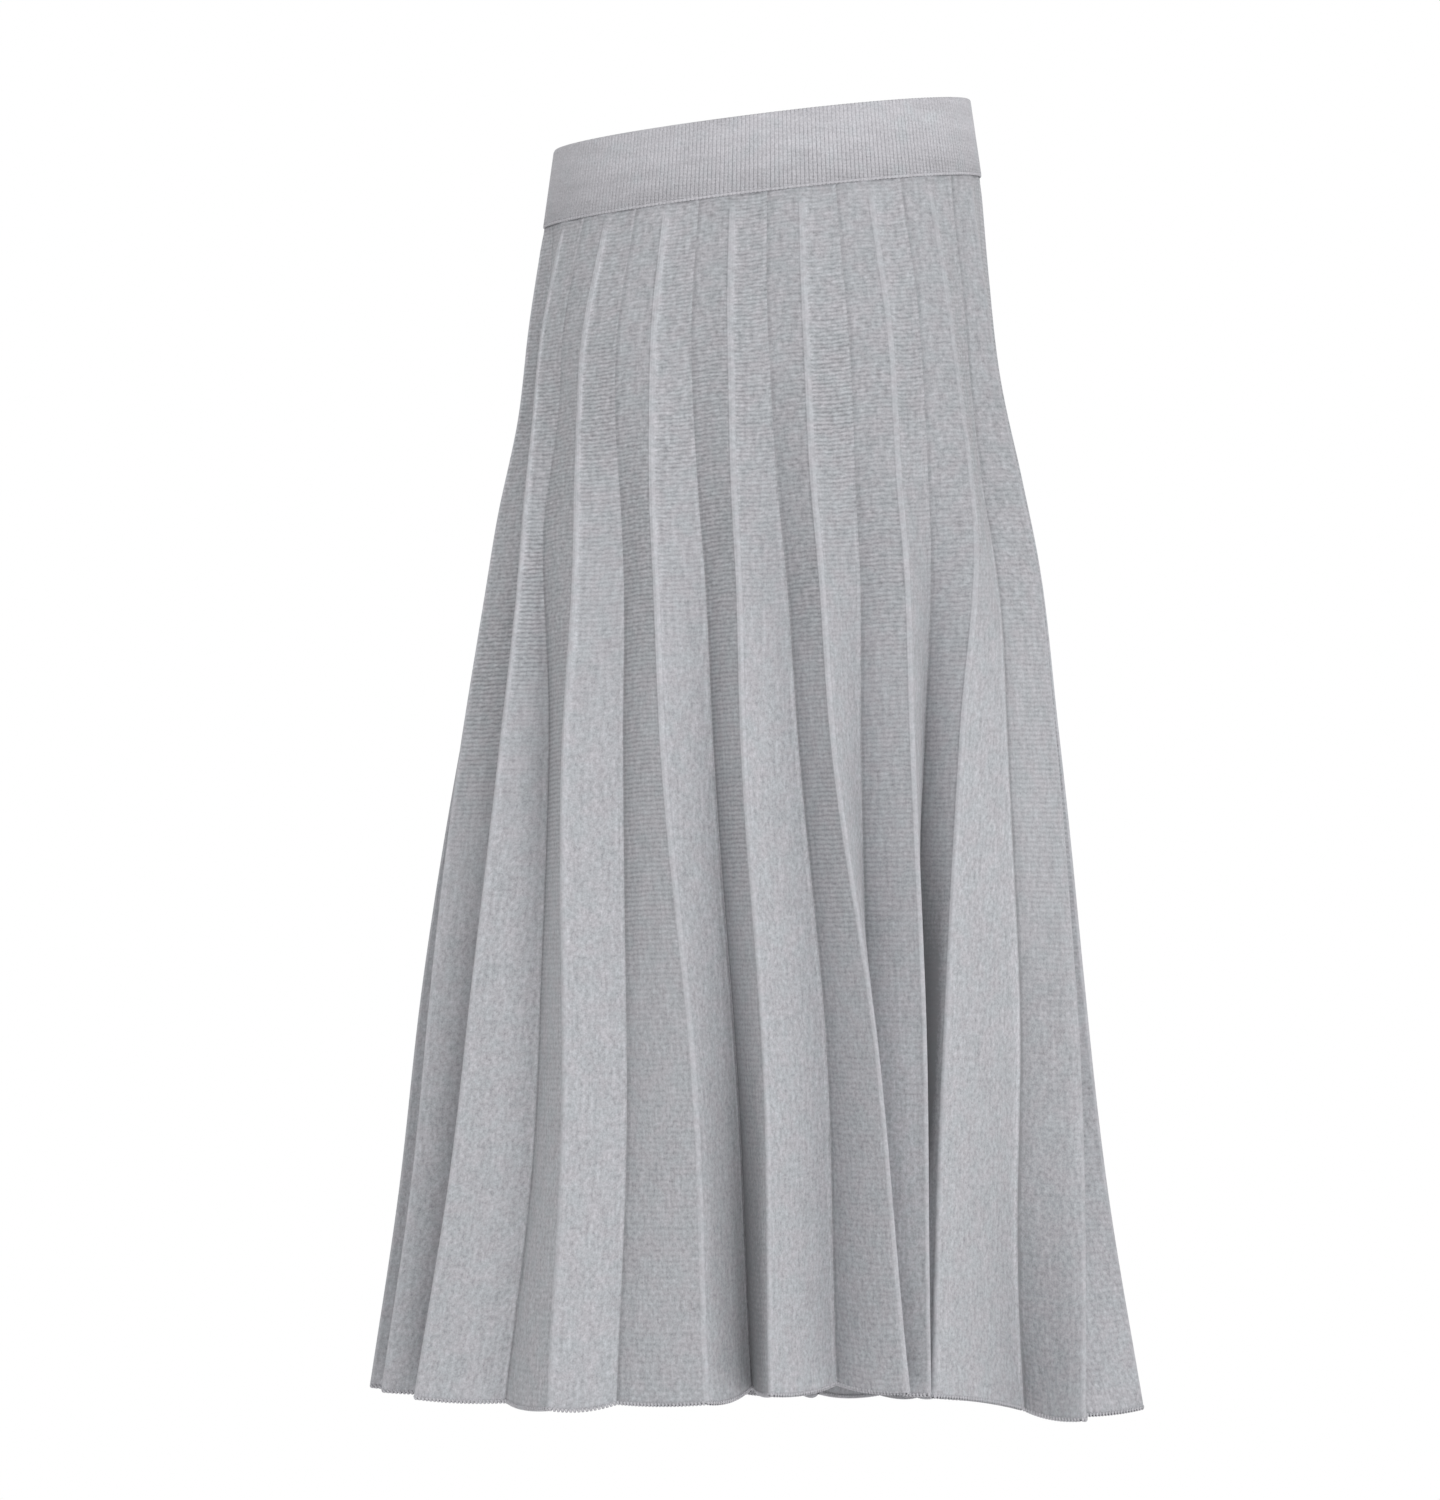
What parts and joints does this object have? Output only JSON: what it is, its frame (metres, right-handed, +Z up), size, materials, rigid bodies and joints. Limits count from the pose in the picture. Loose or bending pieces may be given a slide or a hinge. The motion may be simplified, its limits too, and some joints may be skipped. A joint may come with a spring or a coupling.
{
  "type": "pleated midi skirt",
  "caption": "Knitted pull-on midi skirt with a ribbed waistband and accordion pleats that open towards the hem, in its worn form.",
  "frame": {"origin": "middle of the waistband's ring, halfway up the band, on the wearer's waist axis", "axes": "+Z up along the wearer's body; the wearer faces -Y, so +Y is the back of the skirt and -X is the wearer's right side"},
  "size_m": [0.4674, 0.361, 0.7965],
  "materials": {
    "rib_knit": "matte",
    "plain_knit": "matte"
  },
  "bodies": {
    "root": {"waistband": "rib_knit", "back_panel": "plain_knit", "front_panel": "plain_knit"}
  },
  "joints": []
}
